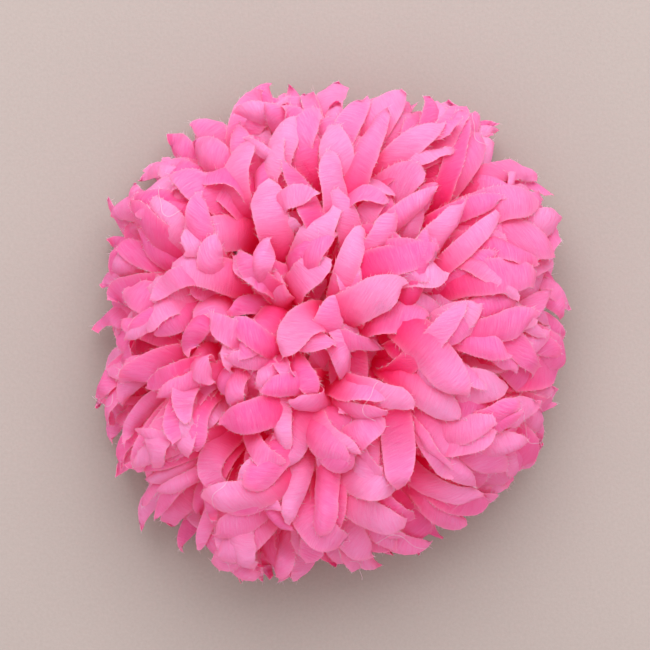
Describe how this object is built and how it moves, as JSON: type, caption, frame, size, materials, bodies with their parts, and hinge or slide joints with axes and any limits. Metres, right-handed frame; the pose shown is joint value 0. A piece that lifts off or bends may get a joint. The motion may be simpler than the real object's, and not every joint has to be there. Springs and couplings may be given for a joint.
{
  "type": "chiffon petal corsage",
  "caption": "Round domed corsage of raw-edged chiffon petals in gathered tufts on a stiff cap, with a felt back, a locking brooch pin and a sprung beak clip.",
  "frame": {"origin": "on the surface the bloom lies on, under the middle of its outline", "axes": "+Z out of the crown of the bloom, +X along the pin and the clip from their hinges to their tips, +Y from the clip to the pin"},
  "size_m": [0.13, 0.1406, 0.0615],
  "materials": {
    "chiffon": "matte",
    "thread": "matte",
    "buckram": "matte",
    "wadding": "matte",
    "felt": "matte",
    "plated_steel": "satin",
    "spring_steel": "polished"
  },
  "bodies": {
    "bloom": {"crown_tuft": "chiffon", "upper_tuft_1": "chiffon", "upper_tuft_2": "chiffon", "upper_tuft_3": "chiffon", "upper_tuft_4": "chiffon", "upper_tuft_5": "chiffon", "upper_tuft_6": "chiffon", "middle_tuft_1": "chiffon", "middle_tuft_2": "chiffon", "middle_tuft_3": "chiffon", "middle_tuft_4": "chiffon", "middle_tuft_5": "chiffon", "middle_tuft_6": "chiffon", "middle_tuft_7": "chiffon", "middle_tuft_8": "chiffon", "middle_tuft_9": "chiffon", "middle_tuft_10": "chiffon", "outer_tuft_1": "chiffon", "outer_tuft_2": "chiffon", "outer_tuft_3": "chiffon", "outer_tuft_4": "chiffon", "outer_tuft_5": "chiffon", "outer_tuft_6": "chiffon", "outer_tuft_7": "chiffon", "outer_tuft_8": "chiffon", "outer_tuft_9": "chiffon", "outer_tuft_10": "chiffon", "outer_tuft_11": "chiffon", "outer_tuft_12": "chiffon", "tuft_bindings": "thread", "foundation_cap": "buckram", "wadding_core": "wadding", "felt_backing": "felt", "edge_stitching": "thread", "pad_disc": "plated_steel", "pad_stitches": "thread", "pad_rivets": "plated_steel", "pin_bar": "plated_steel", "hinge_rivet": "plated_steel", "clip_upper_arm": "plated_steel", "clip_axle": "plated_steel", "clip_spring": "spring_steel"},
    "needle": {"needle": "plated_steel"},
    "catch_lock": {"catch_lock": "plated_steel"},
    "clip_lower_arm": {"clip_lower_arm": "plated_steel"}
  },
  "joints": [
    {"name": "needle_swing", "type": "hinge", "parent": "bloom", "child": "needle", "pos_m": [-0.014, 0.008, 0.0083], "axis": [0, 1, 0], "range_deg": [0, 70]},
    {"name": "lock_turn", "type": "hinge", "parent": "bloom", "child": "catch_lock", "pos_m": [0.012, 0.008, 0.0083], "axis": [-1, 0, 0], "range_deg": [0, 110]},
    {"name": "clip_squeeze", "type": "hinge", "parent": "bloom", "child": "clip_lower_arm", "pos_m": [-0.003, -0.008, 0.0075], "axis": [0, 1, 0], "range_deg": [0, 18], "stiffness_Nm_per_rad": 0.05, "springref_deg": -20.05, "deforming": ["clip_spring"]}
  ]
}
